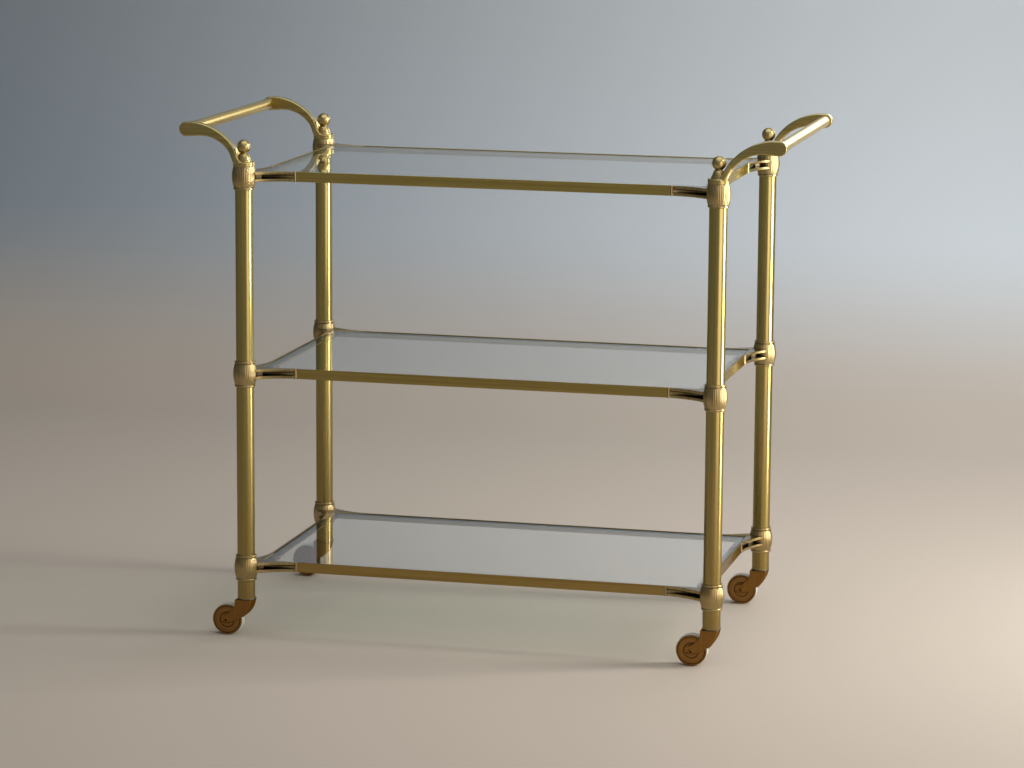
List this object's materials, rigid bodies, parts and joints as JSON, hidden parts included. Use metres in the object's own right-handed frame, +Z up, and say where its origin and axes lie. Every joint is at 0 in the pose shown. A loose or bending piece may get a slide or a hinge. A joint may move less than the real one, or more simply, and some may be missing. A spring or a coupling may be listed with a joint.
{
  "type": "bar cart",
  "caption": "Rectangular rolling bar cart with tube posts, glass shelves in flat rails, a hand bar at each end and swivel casters.",
  "frame": {"origin": "middle of the cart's footprint, on the floor", "axes": "+X along the long side towards the right hand bar, +Y from front to back, +Z up"},
  "size_m": [1.0302, 0.4984, 0.8773],
  "materials": {
    "post_brass": "satin antique, drawn tube",
    "cast_brass": "satin antique, brushed upwards",
    "rail_brass": "satin antique, flat bar",
    "handle_brass": "satin antique, cast and buffed",
    "bar_brass": "satin antique, drawn tube",
    "turned_brass": "satin antique, turned",
    "caster_brass": "dark antique, brushed",
    "axle_brass": "dark antique, turned",
    "wheel_brass": "dark antique, turned with rings",
    "grey_tread": "matt pale grey",
    "clear_glass": "clear, broken edges",
    "clear_pads": "soft clear",
    "plated_steel": "zinc plated"
  },
  "bodies": {
    "cart": {"post_front_left": "post_brass", "post_front_right": "post_brass", "post_back_left": "post_brass", "post_back_right": "post_brass", "casting_bottom_front_left": "cast_brass", "casting_bottom_front_right": "cast_brass", "casting_bottom_back_left": "cast_brass", "casting_bottom_back_right": "cast_brass", "casting_middle_front_left": "cast_brass", "casting_middle_front_right": "cast_brass", "casting_middle_back_left": "cast_brass", "casting_middle_back_right": "cast_brass", "casting_top_front_left": "cast_brass", "casting_top_front_right": "cast_brass", "casting_top_back_left": "cast_brass", "casting_top_back_right": "cast_brass", "rail_bottom_front": "rail_brass", "rail_bottom_back": "rail_brass", "rail_bottom_left": "rail_brass", "rail_bottom_right": "rail_brass", "rail_middle_front": "rail_brass", "rail_middle_back": "rail_brass", "rail_middle_left": "rail_brass", "rail_middle_right": "rail_brass", "rail_top_front": "rail_brass", "rail_top_back": "rail_brass", "rail_top_left": "rail_brass", "rail_top_right": "rail_brass", "glass_bottom": "clear_glass", "glass_middle": "clear_glass", "glass_top": "clear_glass", "handle_arm_front_left": "handle_brass", "handle_arm_front_right": "handle_brass", "handle_arm_back_left": "handle_brass", "handle_arm_back_right": "handle_brass", "handle_bar_left": "bar_brass", "handle_bar_right": "bar_brass", "finials": "turned_brass", "post_top_plugs": "plated_steel", "caster_inserts": "plated_steel", "casting_grub_screws": "plated_steel", "rail_screws": "plated_steel", "glass_pads": "clear_pads"},
    "caster_front_left": {"fork_front_left": "caster_brass", "axle_front_left": "axle_brass"},
    "roller_front_left": {"wheel_front_left": "wheel_brass", "tyre_front_left": "grey_tread"},
    "caster_front_right": {"fork_front_right": "caster_brass", "axle_front_right": "axle_brass"},
    "roller_front_right": {"wheel_front_right": "wheel_brass", "tyre_front_right": "grey_tread"},
    "caster_back_left": {"fork_back_left": "caster_brass", "axle_back_left": "axle_brass"},
    "roller_back_left": {"wheel_back_left": "wheel_brass", "tyre_back_left": "grey_tread"},
    "caster_back_right": {"fork_back_right": "caster_brass", "axle_back_right": "axle_brass"},
    "roller_back_right": {"wheel_back_right": "wheel_brass", "tyre_back_right": "grey_tread"}
  },
  "joints": [
    {"name": "swivel_front_left", "type": "hinge", "parent": "cart", "child": "caster_front_left", "pos_m": [-0.404, -0.229, 0.063], "axis": [0, 0, 1], "continuous": true},
    {"name": "spin_front_left", "type": "hinge", "parent": "caster_front_left", "child": "roller_front_left", "pos_m": [-0.4355, -0.229, 0.0265], "axis": [0, 1, 0], "continuous": true},
    {"name": "swivel_front_right", "type": "hinge", "parent": "cart", "child": "caster_front_right", "pos_m": [0.404, -0.229, 0.063], "axis": [0, 0, 1], "continuous": true},
    {"name": "spin_front_right", "type": "hinge", "parent": "caster_front_right", "child": "roller_front_right", "pos_m": [0.3725, -0.229, 0.0265], "axis": [0, 1, 0], "continuous": true},
    {"name": "swivel_back_left", "type": "hinge", "parent": "cart", "child": "caster_back_left", "pos_m": [-0.404, 0.229, 0.063], "axis": [0, 0, 1], "continuous": true},
    {"name": "spin_back_left", "type": "hinge", "parent": "caster_back_left", "child": "roller_back_left", "pos_m": [-0.4355, 0.229, 0.0265], "axis": [0, 1, 0], "continuous": true},
    {"name": "swivel_back_right", "type": "hinge", "parent": "cart", "child": "caster_back_right", "pos_m": [0.404, 0.229, 0.063], "axis": [0, 0, 1], "continuous": true},
    {"name": "spin_back_right", "type": "hinge", "parent": "caster_back_right", "child": "roller_back_right", "pos_m": [0.3725, 0.229, 0.0265], "axis": [0, 1, 0], "continuous": true}
  ]
}
